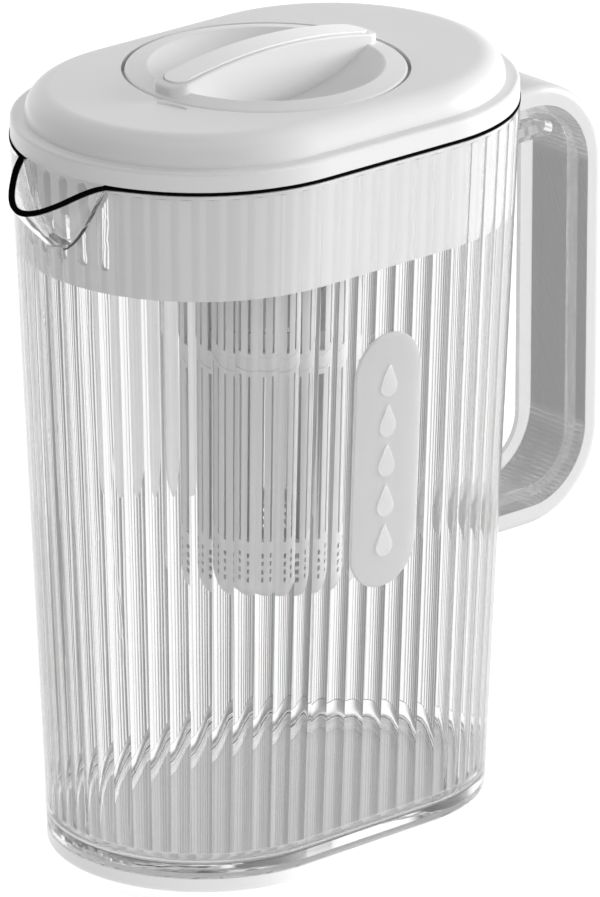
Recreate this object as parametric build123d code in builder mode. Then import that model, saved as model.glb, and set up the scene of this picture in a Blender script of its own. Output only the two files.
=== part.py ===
"""Infuser water pitcher: a fluted clear body, a white lid with a round cap, and a hanging infuser.

Sizes are in millimetres. The origin is the middle of the base where it rests, +Z is up, the spout
points along -X and the handle along +X.
"""

import os
from math import asin, atan, cos, degrees, pi, radians, sin

from build123d import *

os.makedirs("parts", exist_ok=True)

# Clear body
rim_height = 235.0
rim_radius = 59.3
base_radius = 49.6
side_length = 54.0
body_wall = 3.0
floor_height = 8.5
floor_thickness = 3.0
floor_corner = 3.5
floor_inset = 0.3
plain_rim = 3.0

# Upright flutes on the inside of the body
flutes_per_side = 7
flutes_per_end = 24
flute_depth = 0.4
flute_rise = 4.5

# Base tray that the body stands in
foot_height = 5.0
foot_floor = 2.0
foot_wall = 2.5
foot_round = 1.8
base_ring = 3.8
seat_gap = 0.3

# Spout
spout_drop = 25.7
spout_width = 43.0
spout_reach = 22.9
spout_flare = 0.5
spout_swell = 0.85
spout_ease = 0.24
spout_sink = 0.3
spout_shares = (0.04, 0.15, 0.36, 0.66, 1.04)
spout_hollow_shares = (0.15, 0.36, 0.66, 1.04)
spout_wall = 2.4
spout_root = 8.0
lip_start = 8.3
lip_bend = 22.8
lip_angle = 32.4

# Handle: a white cover outside a clear channel
handle_reach = 131.8
handle_drop = 10.6
handle_height = 148.8
handle_corner = 30.0
handle_width = 26.0
cover_thickness = 6.6
cover_round = 3.0
channel_thickness = 2.4
channel_side = 1.8
channel_inset = 0.4
channel_depth = 7.2
channel_top_depth = 2.8
channel_bottom_depth = 6.4
finger_corner = 16.0
lug_overlap = 0.4
lug_drop = 10.0
lug_thickness = 4.6
lug_width = 7.0

# Badges on the two long sides
badge_height = 135.5
badge_length = 85.0
badge_width = 27.0
badge_thickness = 1.2
badge_round = 0.5
drop_count = 5
drop_pitch = 13.4
drop_radius = 3.3
drop_length = 7.2
drop_tip = 0.5
drop_relief = 0.45

# Lid: a ring with a deep skirt, and a cover on top of it
skirt_depth = 36.4
skirt_gap = 0.35
skirt_wall = 2.0
flange_inset = 0.3
flange_height = 6.2
flange_width = 6.6
flange_round = 1.2
lid_height = 15.0
cover_inset = 4.8
lid_wall = 2.2
lid_shoulder = 8.2
lip_height = 2.0
lip_gap = 0.2
mark_angle = 191.5
mark_length = 12.0
mark_width = 2.8
mark_depth = 0.4

# Pour slots through the skirt, in front of the spout
pour_slots = 5
pour_step = 8.6
pour_width = 4.2
pour_foot = 7.4
pour_head = 2.2

# Neck that the cap drops into
cap_radius = 44.1
cap_gap = 1.0
cap_edge = 3.0
neck_radius = 36.5
neck_wall = 2.0
neck_depth = 15.0

# Cap
dish_radius = 37.0
dish_depth = 11.0
cap_crown = 1.2
cap_wall = 2.0
cap_round = 1.0
dish_round = 1.0
bar_length = 85.0
bar_width = 13.4
bar_peak = 8.2
bar_end = 3.2
bar_waist = 1.5
bar_corner = 5.0
bar_round = 0.8
inlay_length = 80.0
inlay_width = 10.6
inlay_depth = 1.0
inlay_proud = 0.5
inlay_gap = 0.3
inlay_corner = 4.6
inlay_round = 0.3
plug_gap = 0.3
plug_wall = 2.0
plug_depth = 14.0
seal_height = 2.5
seal_depth = 1.2
seal_gap = 0.1
seal_rise = 5.0
seal_round = 0.5
boss_depth = 8.0

# Infuser
infuser_radius = 25.0
infuser_wall = 2.0
sleeve_step = 1.2
sleeve_round = 1.0
infuser_neck_length = 69.6
infuser_length = 150.6
end_cap_height = 17.0
end_cap_round = 5.0
fit_gap = 0.3
spigot_wall = 1.8
spigot_length = 7.0
end_spigot = 2.2
end_web = 1.0
band_height = 6.4
line_drop = 4.2
line_height = 0.5
line_depth = 0.3
slot_count = 18
slot_width = 2.4
neck_slot_foot = 1.6
neck_slot_head = 7.0
basket_slot_foot = 2.4
window_rows = 4
window_height = 1.6
window_pitch = 2.7
first_window_rise = 6.8
drain_rings = 3
first_ring_count = 6
drain_pitch = 6.0
drain_radius = 1.1

# Heights and radii that follow from the sizes above
half_side = side_length / 2
slope = (rim_radius - base_radius) / (rim_height - foot_height)
draft = degrees(atan(slope))
spout_heel = rim_height - spout_drop
handle_top = rim_height - handle_drop
handle_bottom = handle_top - handle_height
finger_reach = handle_reach - cover_thickness - channel_depth
finger_top = handle_top - cover_thickness - channel_top_depth
finger_bottom = handle_bottom + cover_thickness + channel_bottom_depth
lug_reach = finger_reach + lug_overlap
lug_height = finger_top - lug_drop
skirt_bottom = rim_height - skirt_depth
pour_low = skirt_bottom + pour_foot
pour_high = rim_height - pour_head
flange_radius = rim_radius - flange_inset
flange_bore = flange_radius - flange_width
flange_top = rim_height + flange_height
lid_top = rim_height + lid_height
seat_height = lid_top - cap_edge
cap_ring_top = lid_top + cap_crown
dish_bottom = cap_ring_top - dish_depth
cap_under = dish_bottom - cap_wall
plug_radius = neck_radius - plug_gap
plug_bore = plug_radius - plug_wall
plug_bottom = seat_height - plug_depth
infuser_joint = plug_bottom - infuser_neck_length
infuser_foot = plug_bottom - infuser_length
end_cap_top = infuser_foot + end_cap_height
neck_slot_low = infuser_joint + neck_slot_foot
neck_slot_high = plug_bottom - neck_slot_head
basket_slot_low = end_cap_top + basket_slot_foot
first_window = infuser_foot + first_window_rise
infuser_bore = infuser_radius - infuser_wall
spigot_radius = infuser_bore - fit_gap
sleeve_radius = infuser_radius + sleeve_step
far_out = 300.0


def outer_radius(height):
    """Radius of the body's rounded ends at a height, which is also half its width."""
    return base_radius + slope * (height - foot_height)


def skirt_radius(height):
    """Radius of the outside of the lid's skirt, just clear of the flutes."""
    return outer_radius(height) - body_wall - skirt_gap


def racetrack(height, radius):
    """Plan outline of two half circles joined by straight sides."""
    with BuildSketch(Plane.XY.offset(height)) as outline:
        SlotCenterToCenter(side_length, 2 * radius)
    return outline.sketch


def wall_point(step, radius):
    """Point of the plan outline, counted in flutes from the start of the near side."""
    half_lap = flutes_per_side + flutes_per_end
    turned, along = divmod(step, half_lap)
    if along <= flutes_per_side:
        x = side_length * (along / flutes_per_side - 0.5)
        y = -radius
    else:
        turn = pi * (along - flutes_per_side) / flutes_per_end - pi / 2
        x = half_side + radius * cos(turn)
        y = radius * sin(turn)
    return (x, y) if turned % 2 == 0 else (-x, -y)


def fluted_outline(height):
    """Plan outline of the cavity: a ring of shallow arcs that meet in inward cusps."""
    cusp = outer_radius(height) - body_wall
    crest = cusp + flute_depth
    with BuildSketch(Plane.XY.offset(height)) as outline:
        with BuildLine():
            for flute in range(2 * (flutes_per_side + flutes_per_end)):
                ThreePointArc(
                    wall_point(flute, cusp),
                    wall_point(flute + 0.5, crest),
                    wall_point(flute + 1, cusp),
                )
        make_face()
    return outline.sketch


def spout_outline(rise, inset):
    """Plan outline of the spout at a share of its height: it leaves the wall softly, like a bell."""
    height = spout_heel + spout_drop * rise
    radius = outer_radius(height)
    half_width = spout_width / 2 * rise**spout_flare - inset
    turn = asin(half_width / (radius - spout_sink))
    side_x = -(half_side + (radius - spout_sink) * cos(turn))
    ease_x = side_x - spout_ease * half_width * sin(turn)
    ease_y = half_width - spout_ease * half_width * cos(turn)
    tip_x = inset - (half_side + radius + spout_reach * rise**spout_swell)
    nose_x = (16 * tip_x - 2 * side_x - 8 * ease_x) / 6
    root_x = side_x + spout_root
    with BuildSketch(Plane.XY.offset(height)) as outline:
        with BuildLine():
            Bezier(
                (side_x, -half_width),
                (ease_x, -ease_y),
                (nose_x, 0),
                (ease_x, ease_y),
                (side_x, half_width),
            )
            Polyline(
                (side_x, half_width),
                (root_x, half_width),
                (root_x, -half_width),
                (side_x, -half_width),
            )
        make_face()
    return outline.sketch


def handle_side(reach, top, bottom, corner):
    """Side outline of the handle's loop, filled in back to the middle of the pitcher."""
    with BuildSketch(Plane.XZ) as side:
        with Locations((reach / 2, (top + bottom) / 2)):
            Rectangle(reach, top - bottom)
        fillet(side.vertices().group_by(Axis.X)[-1], corner)
    return side.sketch


def handle_loop(inset):
    """Side outline of the handle, inset from its outside."""
    return handle_side(
        handle_reach - inset, handle_top - inset, handle_bottom + inset, handle_corner - inset
    )


def arch(lift):
    """Side outline of the grip bar, from under the dish up to its arched top, raised by lift."""
    with BuildSketch(Plane.XZ) as side:
        with BuildLine():
            top = ThreePointArc(
                (-bar_length / 2, lid_top + bar_end + lift),
                (0, lid_top + bar_peak + lift),
                (bar_length / 2, lid_top + bar_end + lift),
            )
            Polyline(top @ 1, (bar_length / 2, cap_under), (-bar_length / 2, cap_under), top @ 0)
        make_face()
    return side.sketch


def dome_radius(half_width, rise):
    """Radius of a shallow dome from its half width and its rise."""
    return (half_width**2 + rise**2) / (2 * rise)


def disc(low, high, radius):
    """Plain round plate about the vertical axis."""
    with BuildPart() as plate:
        with BuildSketch(Plane.XY.offset(low)):
            Circle(radius)
        extrude(amount=high - low)
    return plate.part


def ring(low, high, inner, outer):
    """Plain round tube about the vertical axis."""
    with BuildPart() as tube:
        add(disc(low, high, outer))
        add(disc(low, high, inner), mode=Mode.SUBTRACT)
    return tube.part


def slot_cutters(low, high, count):
    """Upright radial slots all round the infuser's wall."""
    with BuildPart() as cutters:
        with BuildSketch(Plane.XY.offset(low)):
            with PolarLocations(infuser_radius, count):
                Rectangle(2 * (infuser_wall + sleeve_step), slot_width)
        extrude(amount=high - low)
    return cutters.part


# Outside of the body as a plain solid, which the body and the handle are trimmed by
with BuildPart() as body_outside:
    extrude(racetrack(foot_height, base_radius), amount=rim_height - foot_height, taper=-draft)

# Rounded bowl at the bottom of the cavity, a little inside the flutes
with BuildPart() as cavity_bowl:
    bowl_radius = outer_radius(floor_height) - body_wall - floor_inset
    extrude(racetrack(floor_height, bowl_radius), amount=flute_rise, taper=-draft)
    fillet(cavity_bowl.faces().sort_by(Axis.Z)[0].edges(), min(floor_corner, flute_rise - floor_inset))

# Pitcher body: wall, floor, flutes and spout in one clear moulding
with BuildPart() as pitcher_body:
    with BuildSketch(Plane.XZ):
        with Locations((lug_reach / 2, lug_height)):
            SlotOverall(lug_reach, lug_thickness)
    extrude(amount=lug_width / 2, both=True)
    add(body_outside.part)
    loft(sections=[spout_outline(rise, 0) for rise in spout_shares])
    base_inset = foot_wall + seat_gap
    extrude(
        racetrack(foot_floor + seat_gap, base_radius - base_inset),
        amount=foot_height - foot_floor - seat_gap,
    )
    recess_top = floor_height - floor_thickness
    extrude(
        racetrack(foot_floor, base_radius - base_inset - base_ring),
        amount=recess_top - foot_floor,
        mode=Mode.SUBTRACT,
    )
    add(cavity_bowl.part, mode=Mode.SUBTRACT)
    flute_low = floor_height + flute_rise
    flute_high = rim_height - plain_rim
    loft(
        sections=[fluted_outline(flute_low), fluted_outline(flute_high)],
        ruled=True,
        mode=Mode.SUBTRACT,
    )
    extrude(
        racetrack(flute_high, outer_radius(flute_high) - body_wall + flute_depth),
        amount=2 * plain_rim,
        taper=-draft,
        mode=Mode.SUBTRACT,
    )
    loft(
        sections=[spout_outline(rise, spout_wall) for rise in spout_hollow_shares],
        mode=Mode.SUBTRACT,
    )
    with BuildSketch(Plane.XZ):
        with BuildLine():
            edge_x = -(half_side + rim_radius - lip_start)
            bend = JernArc((edge_x, rim_height), (-1, 0), lip_bend, lip_angle)
            fall = PolarLine(bend @ 1, 2 * spout_reach, direction=bend % 1)
            Polyline(
                fall @ 1,
                ((fall @ 1).X, rim_height + spout_drop),
                (edge_x, rim_height + spout_drop),
                (edge_x, rim_height),
            )
        make_face()
    extrude(amount=spout_width, both=True, mode=Mode.SUBTRACT)
    with BuildSketch(Plane.XY.offset(rim_height)):
        Rectangle(far_out, far_out)
    extrude(amount=spout_drop, mode=Mode.SUBTRACT)

pitcher_body.part.label = "pitcher_body"
export_step(pitcher_body.part, "parts/pitcher_body.step")

# Base foot: the white tray round the bottom
with BuildPart() as base_foot:
    extrude(racetrack(0, base_radius), amount=foot_height)
    fillet(base_foot.faces().sort_by(Axis.Z)[0].edges(), foot_round)
    extrude(
        racetrack(foot_floor, base_radius - foot_wall),
        amount=foot_height,
        mode=Mode.SUBTRACT,
    )

base_foot.part.label = "base_foot"
export_step(base_foot.part, "parts/base_foot.step")

# Handle channel: the clear loop that carries the cover
with BuildPart() as handle_channel:
    half_channel = handle_width / 2 - channel_inset
    extrude(handle_loop(cover_thickness), amount=half_channel, both=True)
    extrude(
        handle_loop(cover_thickness + channel_thickness),
        amount=half_channel - channel_side,
        both=True,
        mode=Mode.SUBTRACT,
    )
    extrude(
        handle_side(finger_reach, finger_top, finger_bottom, finger_corner),
        amount=handle_width,
        both=True,
        mode=Mode.SUBTRACT,
    )
    add(body_outside.part, mode=Mode.SUBTRACT)

handle_channel.part.label = "handle_channel"
export_step(handle_channel.part, "parts/handle_channel.step")

# Handle cover: the white outer band of the handle
with BuildPart() as handle_cover:
    extrude(handle_loop(0), amount=handle_width / 2, both=True)
    side_faces = handle_cover.faces().filter_by(Axis.Y)
    fillet(side_faces.edges(), cover_round)
    extrude(handle_loop(cover_thickness), amount=handle_width, both=True, mode=Mode.SUBTRACT)
    add(body_outside.part, mode=Mode.SUBTRACT)

handle_cover.part.label = "handle_cover"
export_step(handle_cover.part, "parts/handle_cover.step")

# Front badge: a plate with raised drops, flat on the sloping near wall
wall_normal = (0, -cos(radians(draft)), -sin(radians(draft)))
badge_origin = (0, -outer_radius(badge_height), badge_height)
badge_plane = Plane(origin=badge_origin, x_dir=(1, 0, 0), z_dir=wall_normal)
with BuildPart() as badge_front:
    with BuildSketch(badge_plane):
        SlotOverall(badge_length, badge_width, rotation=90)
    extrude(amount=badge_thickness)
    fillet(badge_front.faces().sort_by(Axis.Y)[0].edges(), badge_round)
    for place in range(drop_count):
        middle = (place - (drop_count - 1) / 2) * drop_pitch
        belly = middle + (drop_radius - drop_length) / 2
        with BuildSketch(badge_plane.offset(badge_thickness)):
            with Locations((0, belly)):
                Circle(drop_radius)
            with Locations((0, belly + drop_length - drop_tip)):
                Circle(drop_tip)
            make_hull()
        extrude(amount=drop_relief)

badge_front.part.label = "badge_front"
export_step(badge_front.part, "parts/badge_front.step")

# Back badge: the same plate on the far wall
with BuildPart() as badge_back:
    mirror(badge_front.part, about=Plane.XZ)

badge_back.part.label = "badge_back"
export_step(badge_back.part, "parts/badge_back.step")

# Lid ring: the flange that rests on the rim, and the skirt with its pour slots
with BuildPart() as lid_ring:
    extrude(racetrack(rim_height, flange_radius), amount=flange_height)
    fillet(lid_ring.faces().sort_by(Axis.Z)[-1].edges(), flange_round)
    skirt_drop = rim_height - skirt_bottom
    extrude(
        racetrack(skirt_bottom, skirt_radius(skirt_bottom)), amount=skirt_drop, taper=-draft
    )
    extrude(
        racetrack(skirt_bottom, skirt_radius(skirt_bottom) - skirt_wall),
        amount=skirt_drop,
        taper=-draft,
        mode=Mode.SUBTRACT,
    )
    extrude(racetrack(rim_height, flange_bore), amount=flange_height, mode=Mode.SUBTRACT)
    for place in range(pour_slots):
        turn = radians((place - (pour_slots - 1) / 2) * pour_step)
        facing = Plane(
            origin=(-half_side, 0, (pour_low + pour_high) / 2),
            x_dir=(sin(turn), -cos(turn), 0),
            z_dir=(-cos(turn), -sin(turn), 0),
        )
        with BuildSketch(facing):
            SlotOverall(pour_high - pour_low, pour_width, rotation=90)
        extrude(amount=rim_radius, mode=Mode.SUBTRACT)

lid_ring.part.label = "lid_ring"
export_step(lid_ring.part, "parts/lid_ring.step")

# Lid cover: the rounded top, its round opening and the neck below it
with BuildPart() as cover_hollow:
    hollow_radius = rim_radius - cover_inset - lid_wall
    extrude(racetrack(flange_top, hollow_radius), amount=lid_top - flange_top - lid_wall)
    fillet(cover_hollow.faces().sort_by(Axis.Z)[-1].edges(), lid_shoulder - lid_wall)

with BuildPart() as lid_cover:
    extrude(racetrack(flange_top, rim_radius - cover_inset), amount=lid_top - flange_top)
    fillet(lid_cover.faces().sort_by(Axis.Z)[-1].edges(), lid_shoulder)
    add(cover_hollow.part, mode=Mode.SUBTRACT)
    lip_radius = flange_bore - lip_gap
    extrude(racetrack(flange_top, hollow_radius + lid_wall / 2), amount=lip_height)
    extrude(racetrack(flange_top - lip_height, lip_radius), amount=lip_height)
    extrude(
        racetrack(flange_top - lip_height, lip_radius - lid_wall),
        amount=2 * lip_height,
        mode=Mode.SUBTRACT,
    )
    pocket_radius = cap_radius + cap_gap
    pocket_outer = pocket_radius + neck_wall
    add(ring(seat_height - neck_wall, lid_top - lid_wall, neck_radius, pocket_outer))
    add(ring(seat_height - neck_depth, seat_height, neck_radius, neck_radius + neck_wall))
    add(disc(seat_height, lid_top, pocket_radius), mode=Mode.SUBTRACT)
    add(disc(seat_height - neck_depth, seat_height, neck_radius), mode=Mode.SUBTRACT)
    mark_radius = pocket_radius + mark_width
    mark_turn = radians(mark_angle)
    mark_at = (mark_radius * cos(mark_turn), mark_radius * sin(mark_turn))
    with BuildSketch(Plane.XY.offset(lid_top)):
        with Locations(mark_at):
            Ellipse(mark_width / 2, mark_length / 2, rotation=mark_angle)
    extrude(amount=-mark_depth, mode=Mode.SUBTRACT)

lid_cover.part.label = "lid_cover"
export_step(lid_cover.part, "parts/lid_cover.step")

# Cap blank: a plug of the cap's plan with its domed underside, taller than the grip bar
with BuildPart() as cap_blank:
    blank_top = lid_top + 2 * bar_peak
    with BuildSketch(Plane.XZ):
        with BuildLine():
            under_dome = dome_radius(plug_bore, seat_height - cap_under)
            RadiusArc((0, cap_under), (plug_bore, seat_height), -under_dome)
            Polyline(
                (plug_bore, seat_height),
                (cap_radius, seat_height),
                (cap_radius, blank_top),
                (0, blank_top),
                (0, cap_under),
            )
        make_face()
    revolve(axis=Axis.Z)

# Grip bar: arched along its length, with hollowed sides for the fingers
with BuildPart() as grip_bar:
    with BuildSketch(Plane.XY.offset(cap_under)):
        RectangleRounded(bar_length, bar_width, bar_corner)
    extrude(amount=blank_top - cap_under)
    extrude(arch(0), amount=bar_length, both=True, mode=Mode.INTERSECT)
    fillet(grip_bar.faces().sort_by(Axis.Z)[-1].edges(), bar_round)
    with BuildSketch(Plane.YZ):
        with BuildLine():
            half_bar = bar_width / 2
            waist_height = (cap_ring_top + cap_under) / 2
            ThreePointArc(
                (half_bar, cap_ring_top), (half_bar - bar_waist, waist_height), (half_bar, cap_under)
            )
            Polyline(
                (half_bar, cap_under),
                (bar_width, cap_under),
                (bar_width, cap_ring_top),
                (half_bar, cap_ring_top),
            )
        make_face()
        mirror(about=Plane.YZ)
    extrude(amount=bar_length, both=True, mode=Mode.SUBTRACT)
    add(cap_blank.part, mode=Mode.INTERSECT)

# Room in the bar's top for the inlay
with BuildPart() as inlay_recess:
    extrude(arch(bar_peak), amount=inlay_width, both=True)
    extrude(arch(-inlay_depth), amount=bar_length, both=True, mode=Mode.SUBTRACT)
    with BuildSketch(Plane.XY.offset(lid_top)):
        RectangleRounded(inlay_length, inlay_width, inlay_corner)
    extrude(amount=far_out, both=True, mode=Mode.INTERSECT)

# Cap shell: the ring, the dish and the bar, with a recess for the inlay
with BuildPart() as cap_shell:
    add(cap_blank.part)
    with BuildSketch(Plane.XZ):
        with BuildLine():
            dish_dome = dome_radius(dish_radius, dish_depth)
            RadiusArc((0, dish_bottom), (dish_radius, cap_ring_top), -dish_dome)
            Polyline(
                (dish_radius, cap_ring_top),
                (cap_radius, lid_top),
                (2 * cap_radius, lid_top),
                (2 * cap_radius, blank_top + bar_peak),
                (0, blank_top + bar_peak),
                (0, dish_bottom),
            )
        make_face()
    revolve(axis=Axis.Z, mode=Mode.SUBTRACT)
    fillet(cap_shell.edges().group_by(Axis.Z)[-1], dish_round)
    fillet(cap_shell.edges().filter_by_position(Axis.Z, lid_top, lid_top), cap_round)
    add(grip_bar.part)
    add(inlay_recess.part, mode=Mode.SUBTRACT)

cap_shell.part.label = "cap_shell"
export_step(cap_shell.part, "parts/cap_shell.step")

# Grip inlay: the glossy strip let into the top of the bar
with BuildPart() as grip_inlay:
    extrude(arch(inlay_proud), amount=inlay_width, both=True)
    extrude(arch(-inlay_depth), amount=bar_length, both=True, mode=Mode.SUBTRACT)
    with BuildSketch(Plane.XY.offset(lid_top)):
        RectangleRounded(
            inlay_length - 2 * inlay_gap, inlay_width - 2 * inlay_gap, inlay_corner - inlay_gap
        )
    extrude(amount=far_out, both=True, mode=Mode.INTERSECT)
    fillet(grip_inlay.faces().sort_by(Axis.Z)[-1].edges(), inlay_round)

grip_inlay.part.label = "grip_inlay"
export_step(grip_inlay.part, "parts/grip_inlay.step")

# Cap plug: the cup under the cap that fits the neck and carries the infuser
with BuildPart() as cap_plug:
    add(ring(plug_bottom, seat_height, plug_bore, plug_radius))
    add(disc(plug_bottom, plug_bottom + plug_wall, plug_radius))
    add(ring(plug_bottom - boss_depth, plug_bottom, spigot_radius - plug_wall, spigot_radius))
    seal_low = plug_bottom + seal_rise
    groove_radius = plug_radius - seal_depth
    add(ring(seal_low, seal_low + seal_height, groove_radius, cap_radius), mode=Mode.SUBTRACT)

cap_plug.part.label = "cap_plug"
export_step(cap_plug.part, "parts/cap_plug.step")

# Cap seal: the soft ring in the plug's groove
with BuildPart() as cap_seal:
    add(
        ring(
            seal_low + seal_gap,
            seal_low + seal_height - seal_gap,
            groove_radius + seal_gap,
            neck_radius - seal_gap,
        )
    )
    fillet(cap_seal.edges().filter_by(GeomType.CIRCLE).group_by(SortBy.RADIUS)[-1], seal_round)

cap_seal.part.label = "cap_seal"
export_step(cap_seal.part, "parts/cap_seal.step")

# Infuser neck: the slotted upper tube, pushed onto the cap's boss
with BuildPart() as infuser_neck:
    add(disc(infuser_joint, plug_bottom, sleeve_radius))
    fillet(infuser_neck.faces().sort_by(Axis.Z)[0].edges(), sleeve_round)
    add(disc(infuser_joint, plug_bottom, infuser_bore), mode=Mode.SUBTRACT)
    add(slot_cutters(neck_slot_low, neck_slot_high, slot_count), mode=Mode.SUBTRACT)

infuser_neck.part.label = "infuser_neck"
export_step(infuser_neck.part, "parts/infuser_neck.step")

# Infuser basket: the long slotted tube, with a spigot that fits inside the neck
with BuildPart() as infuser_basket:
    band_low = infuser_joint - band_height
    spigot_bore = spigot_radius - spigot_wall
    add(ring(end_cap_top, infuser_joint, infuser_bore, infuser_radius))
    add(ring(band_low, infuser_joint, spigot_bore, infuser_radius))
    add(ring(infuser_joint, infuser_joint + spigot_length, spigot_bore, spigot_radius))
    add(slot_cutters(basket_slot_low, band_low, slot_count), mode=Mode.SUBTRACT)
    line_top = infuser_joint - line_drop
    line_radius = infuser_radius - line_depth
    add(ring(line_top - line_height, line_top, line_radius, sleeve_radius), mode=Mode.SUBTRACT)

infuser_basket.part.label = "infuser_basket"
export_step(infuser_basket.part, "parts/infuser_basket.step")

# Infuser end cap: the pierced cup that closes the basket
with BuildPart() as infuser_end_cap:
    add(disc(infuser_foot, end_cap_top, infuser_radius))
    fillet(infuser_end_cap.faces().sort_by(Axis.Z)[0].edges(), end_cap_round)
    add(disc(infuser_foot + infuser_wall, end_cap_top, infuser_bore), mode=Mode.SUBTRACT)
    for row in range(window_rows):
        middle = first_window + row * window_pitch
        low = middle - window_height / 2
        add(slot_cutters(low, low + window_height, slot_count), mode=Mode.SUBTRACT)
    for circle in range(drain_rings + 1):
        with BuildSketch(Plane.XY.offset(infuser_foot)):
            with PolarLocations(circle * drain_pitch, max(1, first_ring_count * circle)):
                Circle(drain_radius)
        extrude(amount=infuser_wall, mode=Mode.SUBTRACT)
    spigot_bore = spigot_radius - spigot_wall
    add(ring(end_cap_top - end_web, end_cap_top, spigot_bore, infuser_radius))
    add(ring(end_cap_top, end_cap_top + end_spigot, spigot_bore, spigot_radius))

infuser_end_cap.part.label = "infuser_end_cap"
export_step(infuser_end_cap.part, "parts/infuser_end_cap.step")
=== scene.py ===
"""Looks of the infuser water pitcher: its plastics, the studio and the camera."""

from math import atan, cos, radians, sin, tan

import bpy
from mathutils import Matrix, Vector


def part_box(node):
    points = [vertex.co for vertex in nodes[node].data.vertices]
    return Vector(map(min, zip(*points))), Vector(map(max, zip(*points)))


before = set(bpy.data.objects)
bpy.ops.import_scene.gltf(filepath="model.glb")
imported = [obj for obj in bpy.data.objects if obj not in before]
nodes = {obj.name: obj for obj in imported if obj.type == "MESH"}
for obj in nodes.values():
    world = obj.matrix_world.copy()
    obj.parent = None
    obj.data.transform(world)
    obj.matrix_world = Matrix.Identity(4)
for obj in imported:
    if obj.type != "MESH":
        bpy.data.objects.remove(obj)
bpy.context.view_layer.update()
MM = 0.001

# Line of the body's edge seen from the side: level at the rim, then bent down along the spout's lip.
# The edge is painted dark down to EDGE_LINE below it as painted shade, and the painted dark fades out
# over EDGE_FADE.
RIM_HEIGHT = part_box("pitcher_body")[1][2]
LIP_START = -78.0 * MM
LIP_BEND = 22.8 * MM
LIP_ANGLE = radians(32.4)
EDGE_LINE = 1.2 * MM
EDGE_FADE = 0.48 * MM

# Long walls lean out by WALL_RUN over WALL_RISE. A badge's middle lies at BADGE_OUT and BADGE_HEIGHT,
# so its back is BADGE_LIFT out along the wall's normal, and its drops stand DROP_RISE above its back.
WALL_RUN = 9.7 * MM
WALL_RISE = 230 * MM
WALL_DRAFT = atan(WALL_RUN / WALL_RISE)
BADGE_OUT = 55.104 * MM
BADGE_HEIGHT = 135.5 * MM
BADGE_LIFT = BADGE_OUT * cos(WALL_DRAFT) - BADGE_HEIGHT * sin(WALL_DRAFT)
DROP_RISE = 1.3 * MM
DROP_FADE = 0.1 * MM

# Stadium that the clear floor covers on the tray: half its straight side, its end radius, and the
# width over which the painted shade under it fades out
TRAY_HALF_SIDE = 27 * MM
TRAY_RADIUS = 47 * MM
TRAY_FADE = 3 * MM

# Camera: the photograph's viewing angle, in degrees, and the point that it looks at
AZIMUTH = -41.4
ELEVATION = 20.45
DISTANCE = 3.05
TARGET = Vector((0.01395, -0.00005, 0.1202))
LENS = 387.5
SENSOR = 36
CLIP_END = 100

# Floor: its width, its paper, how bright it looks, and how much light it sends up near the pitcher
# and far off
FLOOR_SIZE = 60
PAPER = (0.5, 0.5, 0.5, 1)
WHITE = (1, 1, 1, 1)
FLOOR_GLOW = 0.7
BOUNCE_NEAR = 0.5
BOUNCE_FAR = 0.1
BOUNCE_START = 0.15
BOUNCE_END = 0.6

# Studio walls: VIEW_BEARING is the direction in which the camera looks, counted from +X. One grey
# card stands in every CARD_STEP, and CARD_STOPS gives the tones from one card's edge to the next.
VIEW_BEARING = radians(48.6)
CARD_STEP = radians(60)
CARD_OFFSET = 10.5
CARD_LIGHT = 1.1
CARD_STOPS = {
    0.0: "505050",
    0.33: "7A7A7A",
    0.46: "A4A4A4",
    0.54: "EAEAEA",
    0.58: "FFFFFF",
    0.92: "FFFFFF",
    1.0: "505050",
}
BACKDROP = 1.0
FILL = 0.49

# What glossy faces mirror: a dim room on the camera's side up to the ceiling, white beyond
MIRROR_NEAR = 0.2
MIRROR_FAR = 1.0
HORIZON_BLEND = 0.2
CEILING_START = 0.8
CEILING_END = 0.88

# Lamps: place, size and power of each, all turned to the pitcher's middle
MIDDLE = (0, 0, 0.12)
KEY = ((2.02, -0.92, 0.5), 0.8, 43)
FRONT = ((0.0, -2.4, 1.2), 1.0, 14)
BACK = ((0.4, 2.2, 0.6), 0.8, 22)

# Light is followed through this many walls of clear plastic
BOUNCES = 24


def linear(code):
    """Turn an sRGB hex colour into the linear colour that a shader takes."""
    shares = [int(code[i : i + 2], 16) / 255 for i in (0, 2, 4)]
    return [s / 12.92 if s <= 0.04045 else ((s + 0.055) / 1.055) ** 2.4 for s in shares] + [1.0]


def add(tree, kind, inputs=None, **settings):
    """Add one node with its settings; an input that is given as a socket is linked to it."""
    node = tree.nodes.new(kind)
    for name, value in settings.items():
        setattr(node, name, value)
    for name, value in (inputs or {}).items():
        if isinstance(value, bpy.types.NodeSocket):
            tree.links.new(value, node.inputs[name])
        else:
            node.inputs[name].default_value = value
    return node


def new_material(name):
    """Make an empty material and return it with its node tree."""
    material = bpy.data.materials.new(name)
    material.use_nodes = True
    material.node_tree.nodes.clear()
    return material, material.node_tree


def dress(material, *node_names):
    """Give CAD nodes one material all over."""
    for name in node_names:
        mesh = nodes[name].data
        mesh.materials.clear()
        mesh.materials.append(material)


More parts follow.
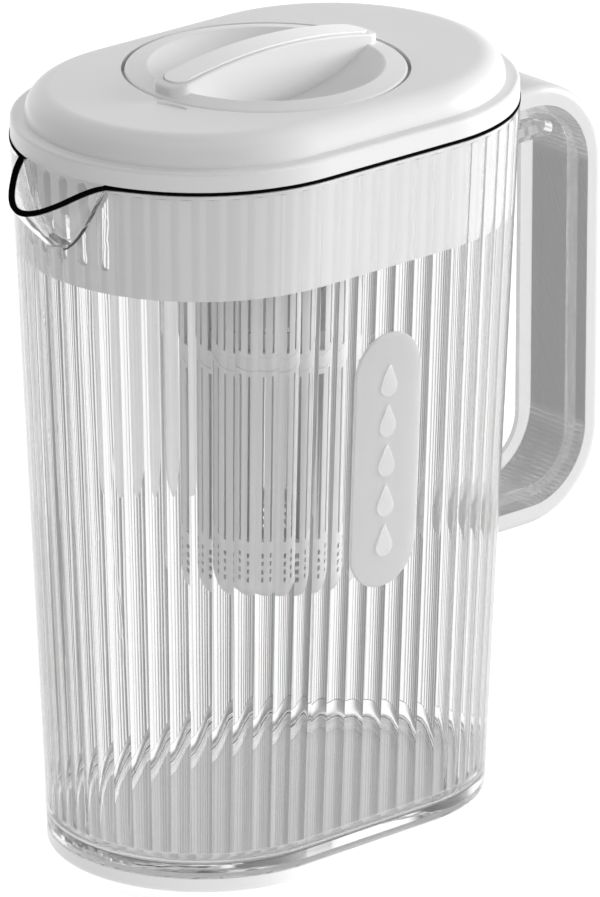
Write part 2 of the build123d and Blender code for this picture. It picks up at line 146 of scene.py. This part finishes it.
def open_air_share(tree, place):
    """Value that is 0 on the tray under the body's clear floor, where the painted shade goes, and 1
    on the rim outside it.
    """
    flat = add(tree, "ShaderNodeVectorMath", {0: place, 1: (1, 1, 0)}, operation="MULTIPLY")
    out = add(tree, "ShaderNodeVectorMath", {0: flat.outputs[0]}, operation="ABSOLUTE")
    end = add(
        tree,
        "ShaderNodeVectorMath",
        {0: out.outputs[0], 1: (TRAY_HALF_SIDE, 0, 0)},
        operation="SUBTRACT",
    )
    past = add(tree, "ShaderNodeVectorMath", {0: end.outputs[0], 1: (0, 0, 0)}, operation="MAXIMUM")
    reach = add(tree, "ShaderNodeVectorMath", {0: past.outputs[0]}, operation="LENGTH")
    share = add(
        tree,
        "ShaderNodeMapRange",
        {
            "Value": reach.outputs["Value"],
            "From Min": TRAY_RADIUS - TRAY_FADE,
            "From Max": TRAY_RADIUS,
        },
    )
    return share.outputs["Result"]


# Moulded white ABS or PP: an even white with a soft gloss. The mould leaves a very fine texture that
# breaks up the highlights, and its flow leaves faint cloudy changes in the white. On the foot, the
# face under the body's clear floor is mixed toward a darker grey, a painted shade for the shade that
# the clear floor casts there.
def moulded_white(name, pale, deep, roughness, grain, painted_shade=None):
    material, tree = new_material(name)
    place = add(tree, "ShaderNodeTexCoord").outputs["Object"]
    cloud = add(tree, "ShaderNodeTexNoise", {"Vector": place, "Scale": 1 / (45 * MM), "Detail": 3.0})
    tint = add(
        tree,
        "ShaderNodeMix",
        {"Factor": cloud.outputs["Fac"], "A": linear(pale), "B": linear(deep)},
        data_type="RGBA",
    )
    # Painted shade: the tray under the clear floor is mixed toward a darker grey.
    if painted_shade:
        lit = open_air_share(tree, place)
        tint = add(
            tree,
            "ShaderNodeMix",
            {"Factor": lit, "A": linear(painted_shade), "B": tint.outputs["Result"]},
            data_type="RGBA",
        )
    speckle = add(
        tree, "ShaderNodeTexNoise", {"Vector": place, "Scale": 1 / (0.9 * MM), "Detail": 2.0}
    )
    worn = add(
        tree,
        "ShaderNodeMapRange",
        {"Value": cloud.outputs["Fac"], "To Min": roughness * 0.9, "To Max": roughness * 1.15},
    )
    bump = add(
        tree,
        "ShaderNodeBump",
        {"Height": speckle.outputs["Fac"], "Strength": grain, "Distance": 0.02 * MM},
    )
    skin = add(
        tree,
        "ShaderNodeBsdfPrincipled",
        {
            "Base Color": tint.outputs["Result"],
            "Roughness": worn.outputs["Result"],
            "Normal": bump.outputs["Normal"],
            "IOR": 1.53,
        },
    )
    add(tree, "ShaderNodeOutputMaterial", {"Surface": skin.outputs["BSDF"]})
    return material


def edge_depth(tree, place):
    """Depth of a point below the body's edge line, level at the rim and falling along the lip."""
    split = add(tree, "ShaderNodeSeparateXYZ", {"Vector": place})
    past = add(tree, "ShaderNodeMath", {0: LIP_START, 1: split.outputs["X"]}, operation="SUBTRACT")
    past = add(tree, "ShaderNodeMath", {0: past.outputs[0], 1: 0.0}, operation="MAXIMUM")
    bend_reach = LIP_BEND * sin(LIP_ANGLE)
    bent = add(tree, "ShaderNodeMath", {0: past.outputs[0], 1: bend_reach}, operation="MINIMUM")
    square = add(tree, "ShaderNodeMath", {0: bent.outputs[0], 1: 2.0}, operation="POWER")
    inside = add(
        tree, "ShaderNodeMath", {0: LIP_BEND**2, 1: square.outputs[0]}, operation="SUBTRACT"
    )
    drop = add(tree, "ShaderNodeMath", {0: inside.outputs[0]}, operation="SQRT")
    level = add(
        tree, "ShaderNodeMath", {0: drop.outputs[0], 1: RIM_HEIGHT - LIP_BEND}, operation="ADD"
    )
    run = add(
        tree, "ShaderNodeMath", {0: past.outputs[0], 1: bent.outputs[0]}, operation="SUBTRACT"
    )
    slide = add(
        tree, "ShaderNodeMath", {0: run.outputs[0], 1: tan(LIP_ANGLE)}, operation="MULTIPLY"
    )
    line = add(
        tree, "ShaderNodeMath", {0: level.outputs[0], 1: slide.outputs[0]}, operation="SUBTRACT"
    )
    depth = add(
        tree, "ShaderNodeMath", {0: line.outputs[0], 1: split.outputs["Z"]}, operation="SUBTRACT"
    )
    return depth.outputs[0]


# Clear SAN: water-clear and glossy, with the faint waviness of a moulded wall. A real edge like this
# traps the light that enters it and looks dark, so a thin near-black line is painted along the rim
# and the spout's lip as painted shade. The handle's channel is a thin shell, so the share of light
# that straight gives goes through it unbent.
# Light on its way to the pieces inside passes the wall unbent too.
def clear_plastic(name, painted_edge_line, straight):
    material, tree = new_material(name)
    place = add(tree, "ShaderNodeTexCoord").outputs["Object"]
    wave = add(tree, "ShaderNodeTexNoise", {"Vector": place, "Scale": 1 / (14 * MM), "Detail": 2.0})
    bump = add(
        tree,
        "ShaderNodeBump",
        {"Height": wave.outputs["Fac"], "Strength": 0.15, "Distance": 0.2 * MM},
    )
    wall = add(
        tree,
        "ShaderNodeBsdfPrincipled",
        {
            "Base Color": linear("FEFEFE"),
            "Roughness": 0.01,
            "IOR": 1.57,
            "Transmission Weight": 1.0,
            "Normal": bump.outputs["Normal"],
        },
    )
    if painted_edge_line:
        depth = edge_depth(tree, place)
        painted_edge_share = add(
            tree,
            "ShaderNodeMapRange",
            {
                "Value": depth,
                "From Min": EDGE_LINE - EDGE_FADE / 2,
                "From Max": EDGE_LINE + EDGE_FADE / 2,
                "To Min": 1.0,
                "To Max": 0.0,
            },
        )
        # Painted shade: near-black on the edge band, standing in for the dark edge of the clear wall.
        painted_edge_dark = add(tree, "ShaderNodeBsdfDiffuse", {"Color": linear("0A0A0A")})
        wall = add(
            tree,
            "ShaderNodeMixShader",
            {0: painted_edge_share.outputs["Result"], 1: wall.outputs["BSDF"], 2: painted_edge_dark.outputs["BSDF"]},
        )
    path = add(tree, "ShaderNodeLightPath")
    soft = add(
        tree,
        "ShaderNodeMath",
        {0: path.outputs["Is Shadow Ray"], 1: path.outputs["Is Diffuse Ray"]},
        operation="MAXIMUM",
    )
    soft = add(tree, "ShaderNodeMath", {0: soft.outputs["Value"], 1: straight}, operation="MAXIMUM")
    passing = add(tree, "ShaderNodeBsdfTransparent", {"Color": linear("F8F8F8")})
    both = add(
        tree,
        "ShaderNodeMixShader",
        {0: soft.outputs["Value"], 1: wall.outputs[0], 2: passing.outputs["BSDF"]},
    )
    add(tree, "ShaderNodeOutputMaterial", {"Surface": both.outputs["Shader"]})
    return material


# Badge: frosted white acrylic, matt and translucent, so that it picks up the light behind it. Its
# raised drops are polished, and their raised faces are painted a little whiter than the plate as
# painted sheen.
def frosted_plate(name):
    material, tree = new_material(name)
    place = add(tree, "ShaderNodeTexCoord").outputs["Object"]
    frost = add(
        tree, "ShaderNodeTexNoise", {"Vector": place, "Scale": 1 / (0.35 * MM), "Detail": 2.0}
    )
    bump = add(
        tree,
        "ShaderNodeBump",
        {"Height": frost.outputs["Fac"], "Strength": 0.25, "Distance": 0.02 * MM},
    )
    out = add(tree, "ShaderNodeVectorMath", {0: place}, operation="ABSOLUTE")
    height = add(
        tree,
        "ShaderNodeVectorMath",
        {0: out.outputs["Vector"], 1: (0.0, cos(WALL_DRAFT), -sin(WALL_DRAFT))},
        operation="DOT_PRODUCT",
    )
    polish_and_sheen_share = add(
        tree,
        "ShaderNodeMapRange",
        {
            "Value": height.outputs["Value"],
            "From Min": BADGE_LIFT + DROP_RISE - DROP_FADE / 2,
            "From Max": BADGE_LIFT + DROP_RISE + DROP_FADE / 2,
        },
    )
    # Painted sheen: the drops' raised faces are tinted whiter than the plate.
    tint = add(
        tree,
        "ShaderNodeMix",
        {"Factor": polish_and_sheen_share.outputs["Result"], "A": linear("E2E2E2"), "B": linear("FFFFFF")},
        data_type="RGBA",
    )
    gloss = add(
        tree,
        "ShaderNodeMapRange",
        {"Value": polish_and_sheen_share.outputs["Result"], "To Min": 0.55, "To Max": 0.25},
    )
    skin = add(
        tree,
        "ShaderNodeBsdfPrincipled",
        {
            "Base Color": tint.outputs["Result"],
            "Roughness": gloss.outputs["Result"],
            "Normal": bump.outputs["Normal"],
            "IOR": 1.49,
        },
    )
    glow = add(tree, "ShaderNodeBsdfTranslucent", {"Color": linear("FFFFFF")})
    both = add(
        tree, "ShaderNodeMixShader", {0: 0.62, 1: skin.outputs["BSDF"], 2: glow.outputs["BSDF"]}
    )
    add(tree, "ShaderNodeOutputMaterial", {"Surface": both.outputs["Shader"]})
    return material


# Silicone of the plug's seal: soft, slightly milky and matt, with some light passing through it.
def silicone(name):
    material, tree = new_material(name)
    place = add(tree, "ShaderNodeTexCoord").outputs["Object"]
    bloom = add(
        tree, "ShaderNodeTexNoise", {"Vector": place, "Scale": 1 / (2.5 * MM), "Detail": 3.0}
    )
    tint = add(
        tree,
        "ShaderNodeMix",
        {"Factor": bloom.outputs["Fac"], "A": linear("D2D5D8"), "B": linear("C4C8CC")},
        data_type="RGBA",
    )
    skin = add(
        tree,
        "ShaderNodeBsdfPrincipled",
        {"Base Color": tint.outputs["Result"], "Roughness": 0.6, "IOR": 1.41},
    )
    glow = add(tree, "ShaderNodeBsdfTranslucent", {"Color": linear("E6E8EA")})
    both = add(
        tree, "ShaderNodeMixShader", {0: 0.4, 1: skin.outputs["BSDF"], 2: glow.outputs["BSDF"]}
    )
    add(tree, "ShaderNodeOutputMaterial", {"Surface": both.outputs["Shader"]})
    return material


white_lid = moulded_white("moulded_white_abs", "E9E9E9", "E4E4E4", 0.3, 0.2)
white_foot = moulded_white("moulded_foot_abs", "F6F6F6", "F2F2F2", 0.3, 0.2, painted_shade="C0C0C0")
# The handle cover is the same white plastic as the lid, painted a darker white as painted shade.
white_cover_painted_shade = moulded_white("moulded_handle_abs_painted_shade", "D6D6D6", "D0D0D0", 0.3, 0.2)
white_inlay = moulded_white("polished_white_abs", "FEFEFE", "FAFAFA", 0.08, 0.0)
soft_seal = silicone("translucent_silicone")
white_infuser = moulded_white("moulded_white_pp", "E4E4E4", "E0E0E0", 0.4, 0.2)
frosted_badge = frosted_plate("frosted_white_acrylic")
clear_body = clear_plastic("clear_san_body", painted_edge_line=True, straight=0.0)
clear_loop = clear_plastic("clear_san_handle", painted_edge_line=False, straight=0.65)
dress(white_lid, "lid_ring", "lid_cover", "cap_shell", "cap_plug")
dress(white_cover_painted_shade, "handle_cover")
dress(soft_seal, "cap_seal")
dress(white_foot, "base_foot")
dress(white_infuser, "infuser_neck", "infuser_basket", "infuser_end_cap")
dress(white_inlay, "grip_inlay")
dress(frosted_badge, "badge_front", "badge_back")
dress(clear_body, "pitcher_body")
dress(clear_loop, "handle_channel")


def seen_rays(tree, *kinds):
    """Value that is 1 for rays of the named kinds and 0 for all others."""
    path = add(tree, "ShaderNodeLightPath")
    total = path.outputs[kinds[0]]
    for kind in kinds[1:]:
        either = add(tree, "ShaderNodeMath", {0: total, 1: path.outputs[kind]}, operation="MAXIMUM")
        total = either.outputs[0]
    return total


# Floor: a wide white sweep. It glows white for the camera and keeps the pitcher's shadow, and it
# lets rays that come through clear plastic pass to the studio's walls.
def white_sweep():
    material, tree = new_material("white_sweep")
    paper = add(tree, "ShaderNodeBsdfDiffuse", {"Color": PAPER})
    glow = add(tree, "ShaderNodeEmission", {"Color": WHITE, "Strength": FLOOR_GLOW})
    place = add(tree, "ShaderNodeTexCoord").outputs["Object"]
    reach = add(tree, "ShaderNodeVectorMath", {0: place}, operation="LENGTH")
    near = add(
        tree,
        "ShaderNodeMapRange",
        {
            "Value": reach.outputs["Value"],
            "From Min": BOUNCE_START,
            "From Max": BOUNCE_END,
            "To Min": BOUNCE_NEAR,
            "To Max": BOUNCE_FAR,
        },
    )
    bounce = add(tree, "ShaderNodeEmission", {"Color": WHITE, "Strength": near.outputs["Result"]})
    shown = seen_rays(tree, "Is Camera Ray", "Is Glossy Ray")
    lit = add(tree, "ShaderNodeMixShader", {0: shown, 1: bounce.outputs[0], 2: glow.outputs[0]})
    sheet = add(tree, "ShaderNodeAddShader", {0: paper.outputs[0], 1: lit.outputs[0]})
    clear = add(tree, "ShaderNodeBsdfTransparent")
    through = seen_rays(tree, "Is Transmission Ray")
    both = add(tree, "ShaderNodeMixShader", {0: through, 1: sheet.outputs[0], 2: clear.outputs[0]})
    add(tree, "ShaderNodeOutputMaterial", {"Surface": both.outputs[0]})
    return material


bpy.ops.object.select_all(action="DESELECT")
bpy.ops.mesh.primitive_plane_add(size=FLOOR_SIZE, location=(0, 0, 0))
floor = bpy.context.object
floor.name = "floor"
floor.data.materials.append(white_sweep())


# Studio walls: white for the camera, with a grey card at every step round the pitcher for the light
# that comes through clear plastic, which bends the cards into the grey bands of its flutes
def studio_walls():
    world = bpy.data.worlds.new("studio")
    bpy.context.scene.world = world
    world.use_nodes = True
    tree = world.node_tree
    tree.nodes.clear()
    place = add(tree, "ShaderNodeTexCoord").outputs["Generated"]
    split = add(tree, "ShaderNodeSeparateXYZ", {"Vector": place})
    bearing = add(
        tree,
        "ShaderNodeMath",
        {0: split.outputs["Y"], 1: split.outputs["X"]},
        operation="ARCTAN2",
    )
    turned = add(
        tree, "ShaderNodeMath", {0: bearing.outputs[0], 1: VIEW_BEARING}, operation="SUBTRACT"
    )
    steps = add(tree, "ShaderNodeMath", {0: turned.outputs[0], 1: CARD_STEP}, operation="DIVIDE")
    shifted = add(tree, "ShaderNodeMath", {0: steps.outputs[0], 1: CARD_OFFSET}, operation="ADD")
    share = add(tree, "ShaderNodeMath", {0: shifted.outputs[0]}, operation="FRACT")
    cards = add(tree, "ShaderNodeValToRGB", {"Fac": share.outputs[0]})
    ramp = cards.color_ramp
    ramp.elements[0].color = linear(CARD_STOPS[0.0])
    ramp.elements[1].color = linear(CARD_STOPS[1.0])
    for position, code in CARD_STOPS.items():
        if 0 < position < 1:
            ramp.elements.new(position).color = linear(code)
    through = add(
        tree, "ShaderNodeBackground", {"Color": cards.outputs["Color"], "Strength": CARD_LIGHT}
    )
    ahead = add(
        tree,
        "ShaderNodeVectorMath",
        {0: place, 1: (cos(VIEW_BEARING), sin(VIEW_BEARING), 0)},
        operation="DOT_PRODUCT",
    )
    far = add(
        tree,
        "ShaderNodeMapRange",
        {
            "Value": ahead.outputs["Value"],
            "From Min": -HORIZON_BLEND,
            "From Max": HORIZON_BLEND,
        },
    )
    overhead = add(
        tree,
        "ShaderNodeMapRange",
        {"Value": split.outputs["Z"], "From Min": CEILING_START, "From Max": CEILING_END},
    )
    bright = add(
        tree, "ShaderNodeMath", {0: far.outputs[0], 1: overhead.outputs[0]}, operation="MAXIMUM"
    )
    sheen = add(
        tree,
        "ShaderNodeMapRange",
        {"Value": bright.outputs[0], "To Min": MIRROR_NEAR, "To Max": MIRROR_FAR},
    )
    mirror = add(tree, "ShaderNodeBackground", {"Color": WHITE, "Strength": sheen.outputs[0]})
    plain = add(tree, "ShaderNodeBackground", {"Color": WHITE, "Strength": BACKDROP})
    fill = add(tree, "ShaderNodeBackground", {"Color": WHITE, "Strength": FILL})
    mixed = fill.outputs[0]
    looks = {"Is Camera Ray": plain, "Is Glossy Ray": mirror, "Is Transmission Ray": through}
    for kind, look in looks.items():
        mixed = add(
            tree, "ShaderNodeMixShader", {0: seen_rays(tree, kind), 1: mixed, 2: look.outputs[0]}
        ).outputs[0]
    add(tree, "ShaderNodeOutputWorld", {"Surface": mixed})


studio_walls()


def softbox(name, place, size, power):
    """Add one large square lamp that points at the pitcher's middle."""
    data = bpy.data.lights.new(name, "AREA")
    data.shape = "SQUARE"
    data.size = size
    data.energy = power
    lamp = bpy.data.objects.new(name, data)
    bpy.context.scene.collection.objects.link(lamp)
    lamp.location = place
    lamp.rotation_euler = (Vector(MIDDLE) - Vector(place)).to_track_quat("-Z", "Y").to_euler()
    lamp.visible_transmission = False
    return lamp


softbox("key", *KEY)
softbox("front", *FRONT).visible_glossy = False
softbox("back", *BACK).visible_glossy = False

data = bpy.data.cameras.new("camera")
data.sensor_width = SENSOR
data.lens = LENS
data.clip_end = CLIP_END
camera = bpy.data.objects.new("camera", data)
bpy.context.scene.collection.objects.link(camera)
turn, lift = radians(AZIMUTH), radians(ELEVATION)
back = Vector((sin(turn) * cos(lift), -cos(turn) * cos(lift), sin(lift)))
camera.location = TARGET + back * DISTANCE
camera.rotation_euler = (-back).to_track_quat("-Z", "Y").to_euler()
bpy.context.scene.camera = camera

bpy.context.scene.view_settings.view_transform = "Standard"
cycles = bpy.context.scene.cycles
cycles.max_bounces = BOUNCES
cycles.transmission_bounces = BOUNCES
cycles.glossy_bounces = BOUNCES
cycles.transparent_max_bounces = BOUNCES
